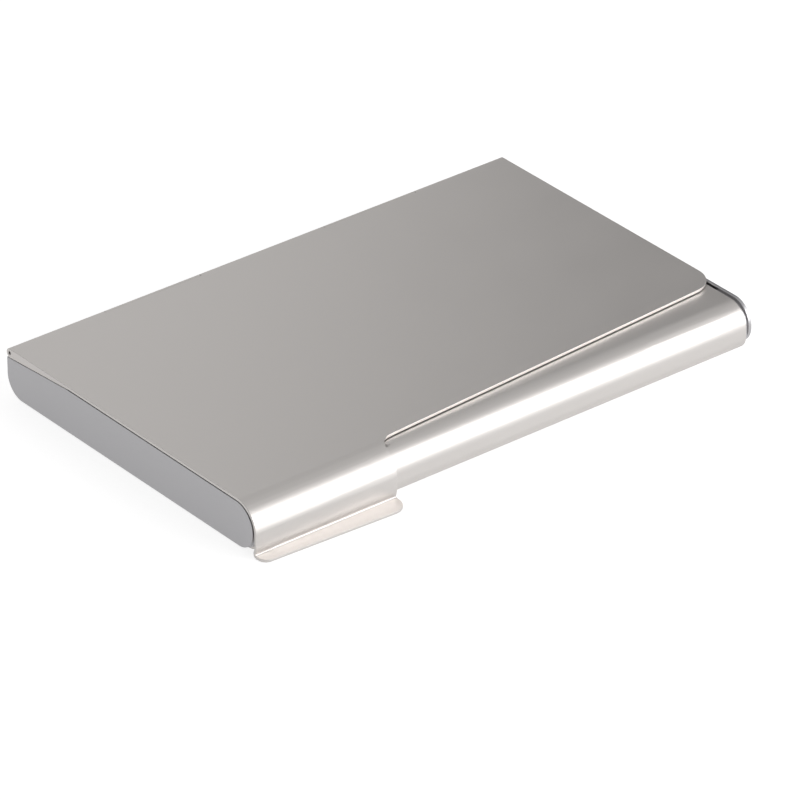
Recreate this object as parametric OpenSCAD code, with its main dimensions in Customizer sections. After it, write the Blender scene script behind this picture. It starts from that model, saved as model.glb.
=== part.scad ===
// Business card case in folded sheet metal.
// X runs along the hinge, -Y is the front with the thumb lip, +Z is up.
// The origin is the centre of the case's flat underside.

/* [Case] */
// Length of the case along the hinge
case_l = 95; // [92:0.5:110]
// Depth of the tray from the front roll to the rear wall
case_w = 59.35; // [58:0.05:64]
// Height of the closed case
case_h = 8.25; // [8.05:0.05:8.6]
// Thickness of the sheet that the tray and the lid are folded from
sheet_t = 0.45; // [0.4:0.01:0.47]
// Distance from the origin to the rear face
rear_y = 30.25; // [29:0.05:33]

/* [Tray] */
// Outer radius of the roll along the top of the front edge
roll_r = 3.8; // [3.6:0.05:4]
// Outer radius of the bend under the front roll
front_bend_r = 2.6; // [2.2:0.05:2.8]
// Outer radius of the bend under the rear wall
rear_bend_r = 3.5; // [2.5:0.05:3.8]
// Gap between the lid's underside and the tray's top flange
lid_gap = 0.15; // [0.1:0.05:0.5]
// How far the top flange reaches back from the front of the roll
flange_w = 14.6; // [12:0.1:18]
// Gap between the rear wall's top edge and the lid's knuckles
wall_gap = 0.3; // [0.2:0.05:0.5]

/* [End caps] */
// Thickness of the plate that closes each end
cap_t = 0.6; // [0.5:0.05:0.8]
// Width of the groove between an end plate and the tray
groove_w = 0.6; // [0.3:0.05:1]
// How far the end plate's lower edge stands above the tray's underside
cap_lift = 0.4; // [0.3:0.05:0.5]
// Gap between the end plate's top edge and the lid's underside
cap_gap = 0.15; // [0.1:0.05:0.5]
// How far the end plate stands back from the front of the tray
cap_inset = 0.2; // [0.1:0.05:0.3]
// Radius of the end plate's lower front corner
cap_corner_r = 3.2; // [2.8:0.1:3.4]
// How far the cap's flange reaches into the tray
cap_reach = 2.9; // [2:0.1:5]
// Thickness of the cap's flange
cap_flange_t = 0.4; // [0.3:0.05:0.5]

/* [Lid] */
// Angle between the lid's slanted front edge and the hinge
cut_angle = 3.63; // [3:0.01:4]
// Where the slanted edge crosses the middle of the case
cut_y = -23.98; // [-24.2:0.01:-22]
// Radius of the lid's free front corner
corner_r = 4.5; // [2:0.1:6]
// Width of the part of the lid that wraps over the front roll
wrap_l = 25.85; // [20:0.05:34]
// Outer radius of the wrap
wrap_r = 4.5; // [4.4:0.05:4.6]
// Gap between the wrap and the front roll
wrap_gap = 0.25; // [0.2:0.01:0.35]
// Height of the middle of the wrap's lower bend
wrap_low_z = 2.2; // [2.1:0.05:2.4]
// Fillet where the wrap's side meets the slanted edge
notch_r = 2.4; // [1.5:0.1:2.6]
// Sweep that leads from that fillet into the slanted edge
sweep_r = 18; // [16:1:30]
// Angle at which the fillet hands over to the sweep
sweep_turn = 9; // [6:1:30]

/* [Thumb lip] */
// Reach of the lip past the wrap at its left end
lip_w = 1.85; // [1.6:0.05:2.2]
// Angle between the lip's front edge and the hinge
lip_angle = 2.5; // [0:0.1:3]
// Radius of the lip's corner at the case's left end
lip_left_r = 1.4; // [1:0.1:1.6]
// Radius of the lip's other corner
lip_right_r = 2.4; // [1.5:0.1:2.6]
// Inside radius of the bend from the wrap to the lip
lip_bend_r = 0.2; // [0.15:0.01:0.25]
// Height of the lip above the surface that the case lies on
lip_lift = 0.05; // [0.02:0.01:0.1]

/* [Hinge] */
// Outer radius of the rolled knuckles
knuckle_r = 0.75; // [0.72:0.01:0.8]
// Radius of the hinge wire
wire_r = 0.25; // [0.2:0.01:0.27]
// Radial clearance between the wire and the knuckles
wire_gap = 0.02; // [0.01:0.01:0.04]
// How far the wire stops short of the case's ends
wire_inset = 0.4; // [0:0.1:1]
// Half length of the lid's middle knuckle
mid_knuckle = 11.8; // [8:0.1:16]
// Outer end of the tray's knuckles
tray_knuckle = 29.8; // [26:0.1:36]
// Gap along the hinge between two knuckles
knuckle_gap = 0.15; // [0.1:0.05:0.3]
// Gap between the tray's knuckles and the lid's edge in front of them
nest_gap = 0.1; // [0.08:0.01:0.15]
// Depth of the hem under the lid's rear edge
hem_w = 10.5; // [8:0.1:12]
// Length of the hem's front edge that lies flat against the lid
hem_flat = 1.2; // [0.8:0.1:2]
// Length of the tapered ear that closes the hem at each end of the lid
ear_w = 14.5; // [12:0.5:18]
// Thickness of the ears
ear_t = 0.5; // [0.3:0.05:0.55]
// Gap between the ears and the end plates under them
ear_gap = 0.12; // [0.1:0.01:0.3]

/* [Card spring] */
// Length of the bowed part of the leaf
leaf_l = 46; // [36:1:56]
// Width of the leaf
leaf_w = 12; // [10:0.5:16]
// Thickness of the leaf
leaf_t = 0.2; // [0.15:0.01:0.25]
// Rise of the bow above the tray's floor
leaf_rise = 1.1; // [0.8:0.05:1.15]
// Length of the leaf's flat foot at each end
leaf_foot = 6; // [4:0.5:8]
// Distance of the leaf's middle from the hinge side of the origin
leaf_y = 6; // [0:0.5:10]
// Radius of a rivet's shank
rivet_r = 0.6; // [0.5:0.05:0.8]
// Radius of a rivet's head
rivet_head_r = 1.2; // [1:0.05:1.4]
// Height of a rivet's head
rivet_head_h = 0.35; // [0.2:0.05:0.4]
// Distance between the two rivets
rivet_pitch = 6; // [4:0.5:7]

/* [Hidden] */

$fn = 64;
arc_steps = 24;
steel = [0.72, 0.71, 0.69];
plate = [0.66, 0.66, 0.65];
spring_steel = [0.58, 0.6, 0.62];

// Overlap that merges two shapes of one piece, room between pieces that are fastened, and a reach past any edge
weld = 0.02;
seat = 0.02;
past = 2;
far = 100;

half_l = case_l / 2;
front_y = rear_y - case_w;
under_lid = case_h - sheet_t;

// Tray section: the top flange's height and the centres of the bends, in Y and Z
flange_z = under_lid - lid_gap;
roll_c = [front_y + roll_r, flange_z - roll_r];
front_c = [front_y + front_bend_r, front_bend_r];
rear_c = [rear_y - rear_bend_r, rear_bend_r];
tray_half = half_l - cap_t - groove_w;

// Hinge axis in Y and Z, and the top of the rear wall under the lid's knuckles
axis = [rear_y - knuckle_r, case_h - knuckle_r];
wall_top = axis.y - knuckle_r - wall_gap;
bore_r = wire_r + wire_gap;

// Front end of the hem, and the underside of the hem there
hem_y = axis.x + knuckle_r - hem_w;
hem_z = under_lid - sheet_t;
hem_half = half_l - cap_t - ear_gap;

// Bottom of the roll, where the ears start, and how steeply they taper
roll_low = axis.y - knuckle_r;
ear_slope = (under_lid - roll_low) / ear_w;

// Lid section: centres of the wrap's two bends and of the lip's bend, in Y and Z
wrap_front = front_y - wrap_gap - sheet_t;
wrap_top_c = [wrap_front + wrap_r, case_h - wrap_r];
wrap_low_c = [wrap_front + wrap_r, wrap_low_z];
lip_out_r = lip_bend_r + sheet_t;
tuck = asin((wrap_low_z - lip_lift - lip_out_r) / (wrap_r + lip_bend_r));
lip_c = wrap_low_c - (wrap_r + lip_bend_r) * [cos(tuck), sin(tuck)];
wrap_x = -half_l + wrap_l;

// Points along an arc from angle a0 to angle a1
function arc(c, r, a0, a1) =
    [for (i = [0:arc_steps]) let (a = a0 + (a1 - a0) * i / arc_steps) c + r * [cos(a), sin(a)]];

function reversed(list) = [for (i = [len(list) - 1:-1:0]) list[i]];

// Y-Z section extruded along X from x0 to x1
module along_x(x0, x1) {
    translate([x0, 0, 0]) rotate([90, 0, 90]) linear_extrude(x1 - x0) children();
}

// Round bar along the hinge axis from x0 to x1
module on_axis(r, x0, x1) {
    translate([x0, axis.x, axis.y]) rotate([0, 90, 0]) cylinder(r = r, h = x1 - x0);
}

// The line of the tray's sheet at a depth inside its outer face
function tray_line(depth, flange_end, wall_end) = concat(
    [[flange_end, flange_z - depth]],
    arc(roll_c, roll_r - depth, 90, 180),
    arc(front_c, front_bend_r - depth, 180, 270),
    arc(rear_c, rear_bend_r - depth, 270, 360),
    [[rear_y - depth, wall_end]]);

// Section of sheet between two such lines
module tray_strip(outer, inner, flange_end, wall_end) {
    polygon(concat(tray_line(outer, flange_end, wall_end), reversed(tray_line(inner, flange_end, wall_end))));
}

// Start and end along X of each of the tray's knuckles
tray_knuckles = [[-tray_knuckle, -mid_knuckle - knuckle_gap], [mid_knuckle + knuckle_gap, tray_knuckle]];

module rivet_places() {
    for (side = [-1, 1])
        translate([-(leaf_l + leaf_foot) / 2, leaf_y + side * rivet_pitch / 2, 0]) children();
}

// Tray: floor, front roll with its top flange, rear wall and the tray's two knuckles
module body_tray() {
    color(steel) difference() {
        union() {
            along_x(-tray_half, tray_half)
                tray_strip(0, sheet_t, front_y + flange_w, wall_top);
            for (k = tray_knuckles) {
                along_x(k[0], k[1]) translate([rear_y - sheet_t, wall_top - weld])
                    square([sheet_t, axis.y - wall_top + weld]);
                on_axis(knuckle_r, k[0], k[1]);
            }
        }
        on_axis(bore_r, -half_l, half_l);
        rivet_places() translate([0, 0, -past]) cylinder(r = rivet_r + seat, h = past + 2 * sheet_t);
    }
}

// Outline of an end plate: its top edge drops at the rear, along the lid's ear
module cap_outline() {
    top = under_lid - cap_gap;
    front = front_y + cap_inset;
    rear = rear_y - weld;
    rear_top = roll_low - ear_gap;
    polygon(concat(
        arc([front + roll_r, top - roll_r], roll_r, 90, 180),
        arc([front + cap_corner_r, cap_lift + cap_corner_r], cap_corner_r, 180, 270),
        arc([rear - rear_bend_r, cap_lift + rear_bend_r], rear_bend_r, 270, 360),
        [[rear, rear_top], [axis.x, rear_top], [axis.x - (top - rear_top) / ear_slope, top]]));
}

// Cap for the right end: the plate, and the flange that lies inside the tray
module end_cap() {
    depth = sheet_t + seat;
    along_x(half_l - cap_t, half_l) cap_outline();
    along_x(tray_half - cap_reach, half_l - cap_t + weld)
        tray_strip(depth, depth + cap_flange_t, roll_c.x + roll_r, wall_top - wall_gap);
}

module left_end_cap() {
    color(plate) mirror([1, 0, 0]) end_cap();
}

module right_end_cap() {
    color(plate) end_cap();
}

// Lid section in Y and Z: the panel, the wrap round the front roll and the lip
module lid_section() {
    inner_r = wrap_r - sheet_t;
    polygon(concat(
        [[axis.x, case_h]],
        arc(wrap_top_c, wrap_r, 90, 180),
        arc(wrap_low_c, wrap_r, 180, 180 + tuck),
        arc(lip_c, lip_bend_r, tuck, -90),
        [[-far, lip_c.y - lip_bend_r], [-far, lip_lift]],
        arc(lip_c, lip_out_r, -90, tuck),
        arc(wrap_low_c, inner_r, 180 + tuck, 180),
        arc(wrap_top_c, inner_r, 180, 90),
        [[axis.x, under_lid]]));
}

// Section of the hem that is folded back under the lid's rear edge
module hem_section() {
    polygon([[axis.x, roll_low], [axis.x, roll_low + sheet_t],
             [hem_y + hem_flat, under_lid + weld], [hem_y, under_lid + weld],
             [hem_y, hem_z], [hem_y + hem_flat, hem_z]]);
}

// Outline of the ear that is bent down from each end of the panel, over the end of the hem
module ear_section() {
    polygon([[axis.x, roll_low], [axis.x, under_lid + weld],
             [axis.x - ear_w, under_lid + weld], [axis.x - ear_w, under_lid]]);
}

// Plan of the lid: slanted front edge, free corner, the wrap's side and the lip
module lid_plan() {
    slope = tan(cut_angle);
    corner_x = half_l - corner_r;
    corner_c = [corner_x, cut_y + slope * corner_x + corner_r / cos(cut_angle)];
    // The fillet's height puts the sweep's far end on the slanted edge
    hand_x = wrap_x + notch_r * (1 - sin(sweep_turn));
    sweep_x = hand_x + sweep_r * (sin(sweep_turn) - sin(cut_angle));
    hand_y = cut_y + slope * sweep_x - sweep_r * (cos(cut_angle) - cos(sweep_turn));
    turn_dir = [-sin(sweep_turn), cos(sweep_turn)];
    notch_c = [hand_x, hand_y] - notch_r * turn_dir;
    sweep_c = [hand_x, hand_y] - sweep_r * turn_dir;
    lip_front = wrap_front - lip_w;
    lip_drop = tan(lip_angle) * (wrap_l - lip_right_r);
    left_c = [-half_l + lip_left_r, lip_front + lip_left_r];
    right_c = [wrap_x - lip_right_r, lip_front - lip_drop + lip_right_r];
    polygon(concat(
        [[half_l, rear_y + past], [-half_l, rear_y + past]],
        arc(left_c, lip_left_r, 180, 270 - lip_angle),
        arc(right_c, lip_right_r, 270 - lip_angle, 360),
        arc(notch_c, notch_r, 180, 90 + sweep_turn),
        arc(sweep_c, sweep_r, 90 + sweep_turn, 90 + cut_angle),
        arc(corner_c, corner_r, 270 + cut_angle, 360)));
}

// Lid: panel, wrap and lip, an ear at each end, and a hem whose roll makes three knuckles
module lid() {
    color(steel) difference() {
        union() {
            intersection() {
                along_x(-half_l, half_l) lid_section();
                translate([0, 0, -past]) linear_extrude(case_h + 2 * past) lid_plan();
            }
            along_x(-hem_half, hem_half) hem_section();
            along_x(-half_l, ear_t - half_l) ear_section();
            along_x(half_l - ear_t, half_l) ear_section();
            on_axis(knuckle_r, -half_l, half_l);
        }
        on_axis(bore_r, -half_l - past, half_l + past);
        for (k = tray_knuckles)
            on_axis(knuckle_r + nest_gap, k[0] - knuckle_gap, k[1] + knuckle_gap);
    }
}

module hinge_wire() {
    color(spring_steel) on_axis(wire_r, wire_inset - half_l, half_l - wire_inset);
}

// Bowed leaf that pushes the cards up against the top flange
module card_spring() {
    half = leaf_l / 2;
    end = half + leaf_foot;
    bow_r = (half * half + leaf_rise * leaf_rise) / (2 * leaf_rise);
    swing = asin(half / bow_r);
    low = sheet_t + seat;
    bow_c = [0, low + leaf_rise - bow_r];
    lift = [0, leaf_t];
    section = concat(
        [[-end, low]], arc(bow_c, bow_r, 90 + swing, 90 - swing), [[end, low], [end, low + leaf_t]],
        arc(bow_c + lift, bow_r, 90 - swing, 90 + swing), [[-end, low + leaf_t]]);
    color(spring_steel) difference() {
        translate([0, leaf_y + leaf_w / 2, 0]) rotate([90, 0, 0]) linear_extrude(leaf_w) polygon(section);
        rivet_places() cylinder(r = rivet_r + seat, h = past);
    }
}

// Two rivets through the floor and the leaf's left foot, flush with the underside
module spring_rivets() {
    head_z = sheet_t + 2 * seat + leaf_t;
    color(plate) rivet_places() {
        cylinder(r = rivet_r, h = head_z + weld);
        translate([0, 0, head_z]) cylinder(r = rivet_head_r, h = rivet_head_h);
    }
}

body_tray();
left_end_cap();
right_end_cap();
lid();
hinge_wire();
card_spring();
spring_rivets();
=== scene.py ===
"""Looks of a folded sheet-metal business card case, made round its CAD frame."""

import math

import bmesh
import bpy
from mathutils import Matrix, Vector


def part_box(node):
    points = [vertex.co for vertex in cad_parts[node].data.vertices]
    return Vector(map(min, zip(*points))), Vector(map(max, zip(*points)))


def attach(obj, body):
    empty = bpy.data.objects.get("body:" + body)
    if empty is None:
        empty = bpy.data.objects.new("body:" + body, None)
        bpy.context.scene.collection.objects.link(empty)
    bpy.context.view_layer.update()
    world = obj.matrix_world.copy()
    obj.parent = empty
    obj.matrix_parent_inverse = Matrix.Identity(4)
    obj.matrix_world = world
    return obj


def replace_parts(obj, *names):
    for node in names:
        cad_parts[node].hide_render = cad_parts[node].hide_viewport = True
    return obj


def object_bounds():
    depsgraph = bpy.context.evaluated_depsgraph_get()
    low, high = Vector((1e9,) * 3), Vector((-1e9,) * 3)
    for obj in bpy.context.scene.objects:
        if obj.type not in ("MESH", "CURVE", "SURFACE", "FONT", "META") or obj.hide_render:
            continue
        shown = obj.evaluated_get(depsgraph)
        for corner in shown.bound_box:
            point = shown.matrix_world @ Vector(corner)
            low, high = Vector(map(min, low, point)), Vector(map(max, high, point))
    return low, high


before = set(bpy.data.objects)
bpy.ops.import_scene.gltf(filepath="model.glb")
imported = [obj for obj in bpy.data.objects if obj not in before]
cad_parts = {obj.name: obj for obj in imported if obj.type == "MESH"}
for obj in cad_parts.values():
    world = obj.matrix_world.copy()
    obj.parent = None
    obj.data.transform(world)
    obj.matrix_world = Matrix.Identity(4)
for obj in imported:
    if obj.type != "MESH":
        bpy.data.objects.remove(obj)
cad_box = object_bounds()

MM = 0.001

# ---------------------------------------------------------------------------------------------
# The view: a long lens a metre away, which looks down on the case over its left front corner.
# The angles are the camera's own, and the aim is a point just off the middle of the case.
# ---------------------------------------------------------------------------------------------
VIEW_TURN = math.radians(38.973)
VIEW_RISE = math.radians(30.311)
VIEW_DISTANCE = 1.02044
VIEW_AIM = Vector((0.427, -3.141, -3.317)) * MM

toward_camera = Vector((
    -math.sin(VIEW_TURN) * math.cos(VIEW_RISE),
    -math.cos(VIEW_TURN) * math.cos(VIEW_RISE),
    math.sin(VIEW_RISE),
))
camera_data = bpy.data.cameras.new("camera")
camera_data.sensor_width = 36.0
camera_data.lens = 307.28
camera_data.clip_start = 0.05
camera_data.clip_end = 20.0
camera = bpy.data.objects.new("camera", camera_data)
bpy.context.scene.collection.objects.link(camera)
camera.location = VIEW_AIM + toward_camera * VIEW_DISTANCE
camera.rotation_euler = (-toward_camera).to_track_quat("-Z", "Y").to_euler()
bpy.context.scene.camera = camera
bpy.context.scene.view_settings.view_transform = "Standard"


# ---------------------------------------------------------------------------------------------
# The studio: a white sweep that the case lies on, a low wide soft box at the front right, and a
# grey panel behind the case that the lid mirrors. The panel ends on the right, so that the lid
# shades off there, and the room behind it is dark at that height and pale along the horizon.
# ---------------------------------------------------------------------------------------------
def linear(colour):
    """An sRGB hex colour as the linear RGBA that shaders take."""
    channels = [int(colour[i:i + 2], 16) / 255 for i in (0, 2, 4)]
    return [c / 12.92 if c <= 0.04045 else ((c + 0.055) / 1.055) ** 2.4 for c in channels] + [1.0]


def add_node(tree, kind, settings=None, links=None):
    """Adds a node, sets its properties and inputs, and links its inputs to other nodes' outputs."""
    node = tree.nodes.new(kind)
    for name, value in (settings or {}).items():
        if hasattr(node, name):
            setattr(node, name, value)
        else:
            node.inputs[name].default_value = value
    for name, output in (links or {}).items():
        tree.links.new(output, node.inputs[name])
    return node


FLOOR_SIZE = 8.0
FLOOR_GREY = 0.4
FLOOR_GLOW = 0.55
FLOOR_GLOW_SEEN = 0.80
UNDER_CASE = 0.02
# Radiance of the room at each height, as the sine of the angle above the horizon
ROOM_HEIGHTS = [(0.0, 1.1), (0.12, 0.8), (0.22, 0.03), (0.5, 0.03), (0.68, 0.6), (1.0, 0.6)]
SOFT_BOX_TOWARD = Vector((0.55, -0.70, 0.33))
SOFT_BOX_AWAY = 0.62
SOFT_BOX_SIZE = (0.80, 0.38)
SOFT_BOX_RADIANCE = 3.6
PANEL_AWAY = 0.60
PANEL_SIZE = (0.90, 0.40)
PANEL_EDGE = 0.02
PANEL_RADIANCE = 0.54

floor_mesh = bpy.data.meshes.new("floor")
half = FLOOR_SIZE / 2
floor_corners = [(-half, -half, 0), (half, -half, 0), (half, half, 0), (-half, half, 0)]
floor_mesh.from_pydata(floor_corners, [], [(0, 1, 2, 3)])
floor = bpy.data.objects.new("floor", floor_mesh)
bpy.context.scene.collection.objects.link(floor)
floor.location.z = cad_box[0][2] - UNDER_CASE * MM
paper = bpy.data.materials.new("white_paper_sweep")
paper.use_nodes = True
paper_shader = paper.node_tree.nodes["Principled BSDF"]
paper_shader.inputs["Base Color"].default_value = [FLOOR_GREY] * 3 + [1]
paper_shader.inputs["Roughness"].default_value = 0.9
paper_shader.inputs["Emission Color"].default_value = (1, 1, 1, 1)
# The sweep is over-exposed where it is seen directly, and dimmer in what the metal mirrors
path = add_node(paper.node_tree, "ShaderNodeLightPath")
exposed = add_node(
    paper.node_tree, "ShaderNodeMapRange", {"To Min": FLOOR_GLOW, "To Max": FLOOR_GLOW_SEEN},
    {"Value": path.outputs["Is Camera Ray"]})
paper.node_tree.links.new(exposed.outputs["Result"], paper_shader.inputs["Emission Strength"])
floor_mesh.materials.append(paper)

world = bpy.data.worlds.new("studio_room")
bpy.context.scene.world = world
world.use_nodes = True
room = world.node_tree
room.nodes.clear()
toward = add_node(room, "ShaderNodeTexCoord")
height = add_node(room, "ShaderNodeSeparateXYZ", links={"Vector": toward.outputs["Generated"]})
shade = add_node(room, "ShaderNodeValToRGB", links={"Fac": height.outputs["Z"]})
while len(shade.color_ramp.elements) > 1:
    shade.color_ramp.elements.remove(shade.color_ramp.elements[-1])
shade.color_ramp.elements[0].position = 0.0
shade.color_ramp.elements[0].color = [ROOM_HEIGHTS[0][1]] * 3 + [1]
for place, radiance in ROOM_HEIGHTS[1:]:
    shade.color_ramp.elements.new(place).color = [radiance] * 3 + [1]
glow = add_node(room, "ShaderNodeBackground", links={"Color": shade.outputs["Color"]})
add_node(room, "ShaderNodeOutputWorld", links={"Surface": glow.outputs["Background"]})


def soft_light(name, place, aim, size, radiance):
    """A rectangular soft light of an even radiance, at a place and turned to face the aim."""
    data = bpy.data.lights.new(name, "AREA")
    data.shape = "RECTANGLE"
    data.size, data.size_y = size
    data.energy = radiance * math.pi * size[0] * size[1]
    light = bpy.data.objects.new(name, data)
    bpy.context.scene.collection.objects.link(light)
    light.location = place
    light.rotation_euler = (place - aim).to_track_quat("Z", "Y").to_euler()


soft_light(
    "soft_box", SOFT_BOX_TOWARD.normalized() * SOFT_BOX_AWAY, Vector((0, 0, 0)),
    SOFT_BOX_SIZE, SOFT_BOX_RADIANCE)
mirrored = Vector((-toward_camera.x, -toward_camera.y, toward_camera.z))
view_right = Vector((math.cos(VIEW_TURN), -math.sin(VIEW_TURN), 0))
panel_middle = mirrored * PANEL_AWAY + view_right * (PANEL_EDGE - PANEL_SIZE[0] / 2)
soft_light("back_panel", panel_middle, panel_middle - mirrored, PANEL_SIZE, PANEL_RADIANCE)


# ---------------------------------------------------------------------------------------------
# The tray: one blank of stainless steel sheet with a satin finish. Its floor runs forward into
# a bend and a roll whose flange lies back under the lid, and up at the rear into a wall with
# two tabs that are curled round the hinge wire.
# ---------------------------------------------------------------------------------------------
SHEET = 0.45
ROLL_R = 3.8
FRONT_BEND_R = 2.6
REAR_BEND_R = 3.5
FLANGE_W = 14.6
LID_GAP = 0.15
WALL_TOP = 6.45
KNUCKLE_R = 0.75
KNUCKLE_SPANS = [(-29.8, -11.95), (11.95, 29.8)]
RIVET_PLACES = [(-26.0, 3.0), (-26.0, 9.0)]
RIVET_R = 0.6

tray_low, tray_high = [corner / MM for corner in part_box("body_tray")]
case_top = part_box("lid")[1].z / MM
hinge = (tray_high.y - KNUCKLE_R, case_top - KNUCKLE_R)


def arc(centre, radius, start, end, steps=20):
    """Points of an arc from one angle to another, in degrees."""
    angles = [math.radians(start + (end - start) * i / steps) for i in range(steps + 1)]
    return [(centre[0] + radius * math.cos(a), centre[1] + radius * math.sin(a)) for a in angles]


def fold_line(points):
    """Each point of a sheet's section with its distance along the sheet, without doubled points."""
    line = [(0.0, *points[0])]
    for point in points[1:]:
        step = math.dist(point, line[-1][1:])
        if step > 1e-4:
            line.append((line[-1][0] + step, *point))
    return line


def folded_sheet(name, line, outlines, thickness, turned=False):
    """Cuts a blank to its outlines, given across and along the sheet, folds it and thickens it.

    The line is the middle of the sheet. A turned sheet has its section in X and Z, and others in Y and Z.
    """
    blank = bmesh.new()
    for outline in outlines:
        corners = [blank.verts.new((across, along, 0)) for across, along in outline]
        for i, corner in enumerate(corners):
            blank.edges.new((corners[i - 1], corner))
    bmesh.ops.triangle_fill(blank, use_beauty=True, edges=blank.edges[:], normal=(0, 0, 1))
    for along, _, _ in line[1:-1]:
        everything = blank.verts[:] + blank.edges[:] + blank.faces[:]
        bmesh.ops.bisect_plane(
            blank, geom=everything, dist=1e-4, plane_co=(0, along, 0), plane_no=(0, 1, 0))
    bmesh.ops.remove_doubles(blank, verts=blank.verts[:], dist=2e-3)
    for vert in blank.verts:
        across, along = vert.co.x, vert.co.y
        i = 1
        while i < len(line) - 1 and line[i][0] < along:
            i += 1
        (s0, u0, z0), (s1, u1, z1) = line[i - 1], line[i]
        share = (along - s0) / (s1 - s0)
        u, z = u0 + (u1 - u0) * share, z0 + (z1 - z0) * share
        vert.co = (u, across, z) if turned else (across, u, z)
    bmesh.ops.dissolve_limit(
        blank, angle_limit=math.radians(0.2), verts=blank.verts[:], edges=blank.edges[:])
    mesh = bpy.data.meshes.new(name)
    blank.to_mesh(mesh)
    blank.free()
    sheet = bpy.data.objects.new(name, mesh)
    bpy.context.scene.collection.objects.link(sheet)
    wall = sheet.modifiers.new("thickness", "SOLIDIFY")
    wall.thickness = thickness
    wall.offset = 0
    wall.use_even_offset = True
    freeze(sheet)
    return sheet


def freeze(piece):
    """Turns a piece and its modifiers into a plain mesh whose faces point outwards."""
    evaluated = piece.evaluated_get(bpy.context.evaluated_depsgraph_get())
    mesh = bpy.data.meshes.new_from_object(evaluated)
    piece.modifiers.clear()
    piece.data = mesh
    shell = bmesh.new()
    shell.from_mesh(mesh)
    bmesh.ops.recalc_face_normals(shell, faces=shell.faces[:])
    shell.to_mesh(mesh)
    shell.free()


def break_edges(piece, radius, segments=3):
    """Rounds a piece's cut edges to a small radius, as tumbling leaves them."""
    bevel = piece.modifiers.new("broken_edges", "BEVEL")
    bevel.width = radius
    bevel.segments = segments
    bevel.limit_method = "ANGLE"
    bevel.angle_limit = math.radians(35)
    bevel.use_clamp_overlap = False
    freeze(piece)


def join_into(piece, other):
    """Makes another closed shape part of a piece."""
    join = piece.modifiers.new("join", "BOOLEAN")
    join.operation = "UNION"
    join.solver = "EXACT"
    join.object = other
    freeze(piece)
    bpy.data.objects.remove(other)


def finish_shape(piece):
    """Smooths a piece's bends, keeps its flats flat, and brings it from millimetres to metres."""
    for polygon in piece.data.polygons:
        polygon.use_smooth = True
    normals = piece.modifiers.new("even_normals", "WEIGHTED_NORMAL")
    normals.mode = "FACE_AREA"
    normals.weight = 50
    evaluated = piece.evaluated_get(bpy.context.evaluated_depsgraph_get())
    mesh = bpy.data.meshes.new_from_object(evaluated)
    piece.modifiers.clear()
    mesh.transform([[MM, 0, 0, 0], [0, MM, 0, 0], [0, 0, MM, 0], [0, 0, 0, 1]])
    piece.data = mesh


def steel(name, colour, roughness, grain_along, grain_across, grain_depth, cloud):
    """Steel with a grain along X. Sizes are in millimetres, and cloud is the spread of roughness."""
    material = bpy.data.materials.new(name)
    material.use_nodes = True
    tree = material.node_tree
    tree.nodes.clear()
    place = add_node(tree, "ShaderNodeTexCoord")
    stretch = add_node(
        tree, "ShaderNodeMapping",
        {"Scale": (1 / (grain_along * MM), 1 / (grain_across * MM), 1 / (grain_across * MM))},
        {"Vector": place.outputs["Object"]})
    grain = add_node(
        tree, "ShaderNodeTexNoise", {"Scale": 1.0, "Detail": 3.0, "Roughness": 0.6},
        {"Vector": stretch.outputs["Vector"]})
    # Faint clouds some 9 mm across, as handling leaves on a satin sheet
    clouds = add_node(
        tree, "ShaderNodeTexNoise", {"Scale": 110.0, "Detail": 2.0, "Roughness": 0.5},
        {"Vector": place.outputs["Object"]})
    both = add_node(
        tree, "ShaderNodeMix", {"data_type": "FLOAT", "Factor": 0.5},
        {"A": grain.outputs["Fac"], "B": clouds.outputs["Fac"]})
    matt = add_node(
        tree, "ShaderNodeMapRange",
        {"From Min": 0.3, "From Max": 0.7, "To Min": roughness - cloud, "To Max": roughness + cloud},
        {"Value": both.outputs["Result"]})
    tint = add_node(
        tree, "ShaderNodeMix",
        {"data_type": "RGBA", "A": linear(colour[0]), "B": linear(colour[1])},
        {"Factor": both.outputs["Result"]})
    relief = add_node(
        tree, "ShaderNodeBump", {"Strength": 1.0, "Distance": grain_depth * MM},
        {"Height": grain.outputs["Fac"]})
    shader = add_node(
        tree, "ShaderNodeBsdfPrincipled", {"Metallic": 1.0},
        {"Base Color": tint.outputs["Result"], "Roughness": matt.outputs["Result"],
         "Normal": relief.outputs["Normal"]})
    add_node(tree, "ShaderNodeOutputMaterial", links={"Surface": shader.outputs["BSDF"]})
    return material


# Stainless steel strip, ground to a fine satin along its length. The real grain is a few
# hundredths of a millimetre across, and is drawn some three times coarser so that it shows.
satin_steel = steel("satin_stainless_steel", ("D7D3D0", "DBD7D4"), 0.41, 2.4, 0.16, 0.0012, 0.02)

mid = SHEET / 2
flange_end = tray_low.y + FLANGE_W
flange_z = case_top - SHEET - LID_GAP
tray_line = fold_line(
    [(flange_end, flange_z - mid)]
    + arc((tray_low.y + ROLL_R, flange_z - ROLL_R), ROLL_R - mid, 90, 180)
    + arc((tray_low.y + FRONT_BEND_R, FRONT_BEND_R), FRONT_BEND_R - mid, 180, 270)
    + arc((tray_high.y - REAR_BEND_R, REAR_BEND_R), REAR_BEND_R - mid, 270, 360)
    + arc(hinge, KNUCKLE_R - mid, 0, 280, 32))


def along_at(line, u, z):
    """Distance along a fold line of its point nearest to a place."""
    return min(line, key=lambda point: math.dist(point[1:], (u, z)))[0]


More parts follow.
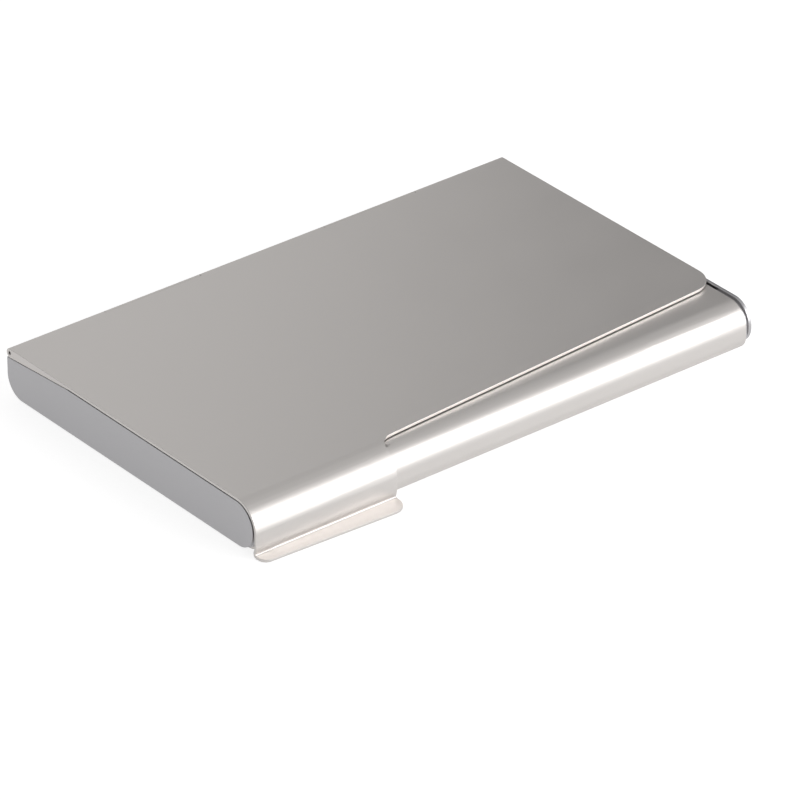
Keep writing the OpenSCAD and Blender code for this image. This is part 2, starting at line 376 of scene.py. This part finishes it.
wall_end = along_at(tray_line, tray_high.y - mid, hinge[1]) - (hinge[1] - WALL_TOP)
curl_end = tray_line[-1][0]
floor_start = along_at(tray_line, tray_low.y + FRONT_BEND_R, mid)
tray_outline = [(tray_low.x, 0), (tray_high.x, 0), (tray_high.x, wall_end)]
for left, right in reversed(KNUCKLE_SPANS):
    tray_outline += [(right, wall_end), (right, curl_end), (left, curl_end), (left, wall_end)]
tray_outline += [(tray_low.x, wall_end)]
rivet_holes = [
    arc((x, floor_start + y - tray_low.y - FRONT_BEND_R), RIVET_R + 0.02, 0, 345, 23)
    for x, y in RIVET_PLACES]
tray = folded_sheet("tray_sheet", tray_line, [tray_outline] + rivet_holes, SHEET)
break_edges(tray, 0.07)
finish_shape(tray)
tray.data.materials.append(satin_steel)
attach(tray, "tray")
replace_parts(tray, "body_tray")


# ---------------------------------------------------------------------------------------------
# The end caps: stamped from thicker sheet with a finer, duller finish. Each has a plate that
# closes the end of the case, and a flange round three sides that is spot-welded inside the tray.
# ---------------------------------------------------------------------------------------------
CAP_PLATE = 0.6
CAP_FLANGE = 0.4
CAP_REACH = 2.9
CAP_LIFT = 0.4
CAP_GAP = 0.15
CAP_INSET = 0.2
CAP_CORNER_R = 3.2
SEAT = 0.02
EAR_W = 14.5
EAR_GAP = 0.12

cap_steel = steel("dull_stamped_steel", ("BDBCBE", "C1C0C2"), 0.38, 0.5, 0.14, 0.0012, 0.02)
cap_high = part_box("right_end_cap")[1] / MM
plate_top = case_top - SHEET - CAP_GAP
plate_rear = tray_high.y - SEAT
plate_front = tray_low.y + CAP_INSET
# The top edge of the plate drops at the rear, along the tapered ear of the lid
roll_low = hinge[1] - KNUCKLE_R
ear_slope = (case_top - SHEET - roll_low) / EAR_W
plate_outline = (
    arc((plate_front + ROLL_R, plate_top - ROLL_R), ROLL_R, 90, 180)
    + arc((plate_front + CAP_CORNER_R, CAP_LIFT + CAP_CORNER_R), CAP_CORNER_R, 180, 270)
    + arc((plate_rear - REAR_BEND_R, CAP_LIFT + REAR_BEND_R), REAR_BEND_R, 270, 360)
    + [(plate_rear, roll_low - EAR_GAP), (hinge[0], roll_low - EAR_GAP),
       (hinge[0] - (plate_top - roll_low + EAR_GAP) / ear_slope, plate_top)])
flange_mid = SHEET + SEAT + CAP_FLANGE / 2
cap_line = fold_line(
    [(tray_low.y + 2 * ROLL_R, flange_z - flange_mid)]
    + arc((tray_low.y + ROLL_R, flange_z - ROLL_R), ROLL_R - flange_mid, 90, 180)
    + arc((tray_low.y + FRONT_BEND_R, FRONT_BEND_R), FRONT_BEND_R - flange_mid, 180, 270)
    + arc((tray_high.y - REAR_BEND_R, REAR_BEND_R), REAR_BEND_R - flange_mid, 270, 360)
    + [(tray_high.y - flange_mid, WALL_TOP - 0.3)])
flange_root = cap_high.x - CAP_PLATE + SEAT
flange_tip = tray_high.x - CAP_REACH
cap_length = cap_line[-1][0]


def flat_plate(name, outline, x, thickness):
    """A flat plate square to X, with its outline in Y and Z and its middle at a place along X."""
    blank = bmesh.new()
    blank.faces.new([blank.verts.new((x, y, z)) for y, z in outline])
    bmesh.ops.remove_doubles(blank, verts=blank.verts[:], dist=2e-3)
    mesh = bpy.data.meshes.new(name)
    blank.to_mesh(mesh)
    blank.free()
    plate = bpy.data.objects.new(name, mesh)
    bpy.context.scene.collection.objects.link(plate)
    wall = plate.modifiers.new("thickness", "SOLIDIFY")
    wall.thickness = thickness
    wall.offset = 0
    freeze(plate)
    return plate


def end_cap(name, side):
    """The cap of the right end, or with a side of -1 its mirror image for the left end."""
    cap = flat_plate(name, plate_outline, cap_high.x - CAP_PLATE / 2, CAP_PLATE)
    break_edges(cap, 0.1)
    flange = folded_sheet(
        name + "_flange", cap_line,
        [[(flange_tip, 0), (flange_root, 0), (flange_root, cap_length), (flange_tip, cap_length)]],
        CAP_FLANGE)
    break_edges(flange, 0.06)
    join_into(cap, flange)
    cap.data.transform([[side, 0, 0, 0], [0, 1, 0, 0], [0, 0, 1, 0], [0, 0, 0, 1]])
    freeze(cap)
    finish_shape(cap)
    cap.data.materials.append(cap_steel)
    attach(cap, "tray")
    return cap


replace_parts(end_cap("left_cap", -1), "left_end_cap")
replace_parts(end_cap("right_cap", 1), "right_end_cap")


# ---------------------------------------------------------------------------------------------
# The lid: a second blank of the same steel. Its panel has a slanted front edge and wraps over
# the front roll at the left, where it ends in a thumb lip. At the rear the sheet curls round
# the hinge wire and comes back under the panel as a hem.
# ---------------------------------------------------------------------------------------------
CUT_ANGLE = 3.63
CUT_Y = -23.98
CORNER_R = 4.5
WRAP_L = 25.85
WRAP_R = 4.5
WRAP_LOW_Z = 2.2
NOTCH_R = 2.4
SWEEP_R = 18.0
SWEEP_TURN = 9.0
LIP_W = 1.85
LIP_ANGLE = 2.5
LIP_LEFT_R = 1.4
LIP_RIGHT_R = 2.4
LIP_BEND_R = 0.2
LIP_LIFT = 0.05
HEM_Y = 19.75
HEM_FLAT = 1.2
KNUCKLE_GAP = 0.06
NEST_GAP = 0.04
EAR_T = 0.5
EAR_TIP = 0.01
EAR_SUNK = 0.15
EAR_BACK = 0.005
WRAP_GAP = 0.25

lid_low, lid_high = [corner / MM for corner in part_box("lid")]
panel_z = lid_high.z - mid
hem_z = panel_z - SHEET
wrap_front = tray_low.y - WRAP_GAP - SHEET
wrap_y = wrap_front + WRAP_R
lip_out_r = LIP_BEND_R + SHEET
tuck = math.degrees(math.asin((WRAP_LOW_Z - LIP_LIFT - lip_out_r) / (WRAP_R + LIP_BEND_R)))
lip_c = (
    wrap_y - (WRAP_R + LIP_BEND_R) * math.cos(math.radians(tuck)),
    WRAP_LOW_Z - (WRAP_R + LIP_BEND_R) * math.sin(math.radians(tuck)))
wrap_x = lid_low.x + WRAP_L
hem_slope = math.degrees(math.atan2(hem_z - hinge[1] + KNUCKLE_R - mid, hinge[0] - HEM_Y - HEM_FLAT))

lid_line = fold_line(
    [(HEM_Y, hem_z), (HEM_Y + HEM_FLAT, hem_z)]
    + arc(hinge, KNUCKLE_R - mid, -90 - hem_slope, 90, 32)
    + arc((wrap_y, lid_high.z - WRAP_R), WRAP_R - mid, 90, 180, 28)
    + arc((wrap_y, WRAP_LOW_Z), WRAP_R - mid, 180, 180 + tuck, 6)
    + arc(lip_c, LIP_BEND_R + mid, tuck, -90, 12)
    + [(lid_low.y - 1, LIP_LIFT + mid)])
panel_start = along_at(lid_line, hinge[0], panel_z)
wrap_start = along_at(lid_line, wrap_y, panel_z)
lip_start = along_at(lid_line, lip_c[0], LIP_LIFT + mid)


def lid_along(y):
    """Distance along the lid's blank of a place on its panel or on the upper half of its wrap."""
    if y >= wrap_y:
        return panel_start + hinge[0] - y
    radius = WRAP_R - mid
    return wrap_start + radius * math.asin(min(1, (wrap_y - y) / radius))


slope = math.tan(math.radians(CUT_ANGLE))
turn_sin = math.sin(math.radians(SWEEP_TURN))
turn_cos = math.cos(math.radians(SWEEP_TURN))
cut_sin = math.sin(math.radians(CUT_ANGLE))
cut_cos = math.cos(math.radians(CUT_ANGLE))
corner_x = lid_high.x - CORNER_R
corner_c = (corner_x, CUT_Y + slope * corner_x + CORNER_R / cut_cos)
hand_x = wrap_x + NOTCH_R * (1 - turn_sin)
sweep_x = hand_x + SWEEP_R * (turn_sin - cut_sin)
hand_y = CUT_Y + slope * sweep_x - SWEEP_R * (cut_cos - turn_cos)
notch_c = (hand_x + NOTCH_R * turn_sin, hand_y - NOTCH_R * turn_cos)
sweep_c = (hand_x + SWEEP_R * turn_sin, hand_y - SWEEP_R * turn_cos)
front_edge = (
    arc(notch_c, NOTCH_R, 180, 90 + SWEEP_TURN)
    + arc(sweep_c, SWEEP_R, 90 + SWEEP_TURN, 90 + CUT_ANGLE)[1:]
    + arc(corner_c, CORNER_R, 270 + CUT_ANGLE, 360))

lip_reach = lip_c[0] - wrap_front + LIP_W
lip_drop = math.tan(math.radians(LIP_ANGLE)) * (WRAP_L - LIP_RIGHT_R)
lip_edge = (
    arc((lid_low.x + LIP_LEFT_R, lip_start + lip_reach - LIP_LEFT_R), LIP_LEFT_R, 180, 90 + LIP_ANGLE, 12)
    + arc((wrap_x - LIP_RIGHT_R, lip_start + lip_reach + lip_drop - LIP_RIGHT_R), LIP_RIGHT_R,
          90 + LIP_ANGLE, 0, 14))
hem_half = lid_high.x - CAP_PLATE - EAR_GAP
roll_start = lid_line[2][0]
lid_outline = (
    [(lid_high.x, roll_start), (hem_half, roll_start), (hem_half, 0), (-hem_half, 0),
     (-hem_half, roll_start), (lid_low.x, roll_start)]
    + lip_edge + [(x, lid_along(y)) for x, y in front_edge])

cut_r = KNUCKLE_R + NEST_GAP
window_y = hinge[0] - math.sqrt(cut_r ** 2 - (panel_z - hinge[1]) ** 2)
window_from = roll_start - (lid_line[2][1] - window_y) / math.cos(math.radians(hem_slope))
window_to = lid_along(window_y)
windows = [
    [(left - KNUCKLE_GAP, window_from), (right + KNUCKLE_GAP, window_from),
     (right + KNUCKLE_GAP, window_to), (left - KNUCKLE_GAP, window_to)]
    for left, right in KNUCKLE_SPANS]
lid = folded_sheet("lid_sheet", lid_line, [lid_outline] + windows, SHEET)
# The edges in front of the tray's knuckles are hollowed, so that they lie close to the curl
for vert in lid.data.vertices:
    across = vert.co.x
    in_window = any(l - KNUCKLE_GAP - 0.01 < across < r + KNUCKLE_GAP + 0.01 for l, r in KNUCKLE_SPANS)
    if in_window and abs(vert.co.y - window_y) < 0.05:
        vert.co.y = hinge[0] - math.sqrt(cut_r ** 2 - (vert.co.z - hinge[1]) ** 2)
break_edges(lid, 0.05)

# The ear bent down from each end of the panel, over the end of the hem. Its top is sunk into the
# panel past the broken edge, and its face stands a hair back from the panel's.
under_lid = panel_z - mid
ear_front = hinge[0] - EAR_W
ear_outline = (
    [(ear_front, under_lid - EAR_TIP), (ear_front, under_lid + EAR_SUNK), (hinge[0], under_lid + EAR_SUNK)]
    + arc(hinge, KNUCKLE_R - SHEET, 90, 270, 16) + [(hinge[0], roll_low)])
for side in (-1, 1):
    join_into(lid, flat_plate("lid_ear", ear_outline, side * (lid_high.x - EAR_BACK - EAR_T / 2), EAR_T))
finish_shape(lid)
lid.data.materials.append(satin_steel)
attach(lid, "lid")
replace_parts(lid, "lid")


# ---------------------------------------------------------------------------------------------
# The hinge wire: drawn spring wire, pushed through the five knuckles and held by the caps.
# ---------------------------------------------------------------------------------------------
wire_steel = steel("drawn_spring_wire", ("A9ABAE", "B4B6B8"), 0.24, 3.0, 0.08, 0.0008, 0.03)
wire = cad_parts["hinge_wire"]
wire.data.materials.clear()
wire.data.materials.append(wire_steel)


# ---------------------------------------------------------------------------------------------
# The card spring: a bowed leaf of rolled spring steel on the tray's floor. Its left foot is
# riveted down, and its right foot slides when the cards press on the bow.
# ---------------------------------------------------------------------------------------------
LEAF_L = 46.0
LEAF_T = 0.2
LEAF_RISE = 1.1
LEAF_CORNER_R = 2.0

spring_low, spring_high = [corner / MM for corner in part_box("card_spring")]
leaf_half = LEAF_L / 2
bow_r = (leaf_half ** 2 + LEAF_RISE ** 2) / (2 * LEAF_RISE)
swing = math.degrees(math.asin(leaf_half / bow_r))
leaf_z = spring_low.z + LEAF_T / 2
leaf_line = fold_line(
    [(spring_low.x, leaf_z)]
    + arc((0, leaf_z + LEAF_RISE - bow_r), bow_r, 90 + swing, 90 - swing, 40)
    + [(spring_high.x, leaf_z)])
leaf_end = leaf_line[-1][0]
near, far = spring_low.y + LEAF_CORNER_R, spring_high.y - LEAF_CORNER_R
start, end = LEAF_CORNER_R, leaf_end - LEAF_CORNER_R
leaf_outline = (
    arc((near, start), LEAF_CORNER_R, 180, 270, 10) + arc((far, start), LEAF_CORNER_R, 270, 360, 10)
    + arc((far, end), LEAF_CORNER_R, 0, 90, 10) + arc((near, end), LEAF_CORNER_R, 90, 180, 10))
leaf_holes = [arc((y, x - spring_low.x), RIVET_R + 0.02, 0, 345, 23) for x, y in RIVET_PLACES]
leaf = folded_sheet("card_spring_leaf", leaf_line, [leaf_outline] + leaf_holes, LEAF_T, turned=True)
break_edges(leaf, 0.04, 2)
finish_shape(leaf)
spring_steel = steel("rolled_spring_steel", ("A4A7AB", "B2B4B7"), 0.22, 4.0, 0.1, 0.0006, 0.03)
leaf.data.materials.append(spring_steel)
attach(leaf, "tray")
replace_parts(leaf, "card_spring")


# ---------------------------------------------------------------------------------------------
# The spring's two rivets: turned from soft steel and plated, each a shank through the floor
# with a low domed head on the leaf.
# ---------------------------------------------------------------------------------------------
RIVET_HEAD_R = 1.2
RIVET_HEAD_H = 0.35

rivets_low, rivets_high = [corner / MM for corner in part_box("spring_rivets")]
head_z = rivets_high.z - RIVET_HEAD_H
rim_h = 0.1
dome_h = RIVET_HEAD_H - rim_h
dome_r = (RIVET_HEAD_R ** 2 + dome_h ** 2) / (2 * dome_h)
dome_swing = math.degrees(math.asin(RIVET_HEAD_R / dome_r))
rivet_profile = (
    [(0, rivets_low.z), (RIVET_R - 0.08, rivets_low.z), (RIVET_R, rivets_low.z + 0.08), (RIVET_R, head_z),
     (RIVET_HEAD_R - 0.05, head_z), (RIVET_HEAD_R, head_z + 0.05)]
    + arc((0, rivets_high.z - dome_r), dome_r, 90 - dome_swing, 90, 8))
turned_rivet = bmesh.new()
chain = [turned_rivet.verts.new((r, 0, z)) for r, z in rivet_profile]
for lower, upper in zip(chain, chain[1:]):
    turned_rivet.edges.new((lower, upper))
bmesh.ops.spin(
    turned_rivet, geom=turned_rivet.verts[:] + turned_rivet.edges[:], cent=(0, 0, 0), axis=(0, 0, 1),
    angle=2 * math.pi, steps=40, use_merge=True)
bmesh.ops.remove_doubles(turned_rivet, verts=turned_rivet.verts[:], dist=1e-3)
bmesh.ops.recalc_face_normals(turned_rivet, faces=turned_rivet.faces[:])
rivet_mesh = bpy.data.meshes.new("turned_rivet")
turned_rivet.to_mesh(rivet_mesh)
turned_rivet.free()
one_rivet = bpy.data.objects.new("turned_rivet", rivet_mesh)
bpy.context.scene.collection.objects.link(one_rivet)
rivet_steel = steel("plated_rivet_steel", ("BDBDBC", "C6C6C5"), 0.28, 0.3, 0.12, 0.0008, 0.03)

row = bpy.data.node_groups.new("rivet_row", "GeometryNodeTree")
row.interface.new_socket("Rivet", in_out="INPUT", socket_type="NodeSocketObject")
row.interface.new_socket("Count", in_out="INPUT", socket_type="NodeSocketInt")
row.interface.new_socket("First place", in_out="INPUT", socket_type="NodeSocketVector")
row.interface.new_socket("Step", in_out="INPUT", socket_type="NodeSocketVector")
row.interface.new_socket("Finish", in_out="INPUT", socket_type="NodeSocketMaterial")
row.interface.new_socket("Geometry", in_out="OUTPUT", socket_type="NodeSocketGeometry")
given = add_node(row, "NodeGroupInput")
source = add_node(row, "GeometryNodeObjectInfo", links={"Object": given.outputs["Rivet"]})
places = add_node(
    row, "GeometryNodeMeshLine", links={
        "Count": given.outputs["Count"], "Start Location": given.outputs["First place"],
        "Offset": given.outputs["Step"]})
copies = add_node(
    row, "GeometryNodeInstanceOnPoints",
    links={"Points": places.outputs["Mesh"], "Instance": source.outputs["Geometry"]})
solid = add_node(row, "GeometryNodeRealizeInstances", links={"Geometry": copies.outputs["Instances"]})
coated = add_node(
    row, "GeometryNodeSetMaterial",
    links={"Geometry": solid.outputs["Geometry"], "Material": given.outputs["Finish"]})
add_node(row, "NodeGroupOutput", links={"Geometry": coated.outputs["Geometry"]})

first, last = RIVET_PLACES[0], RIVET_PLACES[-1]
rivets = bpy.data.objects.new("rivet_pair", bpy.data.meshes.new("rivet_pair"))
bpy.context.scene.collection.objects.link(rivets)
repeat = rivets.modifiers.new("rivet_row", "NODES")
repeat.node_group = row
rivet_inputs = {
    "Rivet": one_rivet, "Count": len(RIVET_PLACES), "First place": (*first, 0),
    "Step": (last[0] - first[0], last[1] - first[1], 0), "Finish": rivet_steel}
for socket in row.interface.items_tree:
    if socket.in_out == "INPUT":
        repeat[socket.identifier] = rivet_inputs[socket.name]
finished = bpy.data.meshes.new_from_object(rivets.evaluated_get(bpy.context.evaluated_depsgraph_get()))
rivets.modifiers.clear()
finished.transform([[MM, 0, 0, 0], [0, MM, 0, 0], [0, 0, MM, 0], [0, 0, 0, 1]])
finished.polygons.foreach_set("use_smooth", [True] * len(finished.polygons))
rivets.data = finished
bpy.data.objects.remove(one_rivet)
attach(rivets, "tray")
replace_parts(rivets, "spring_rivets")
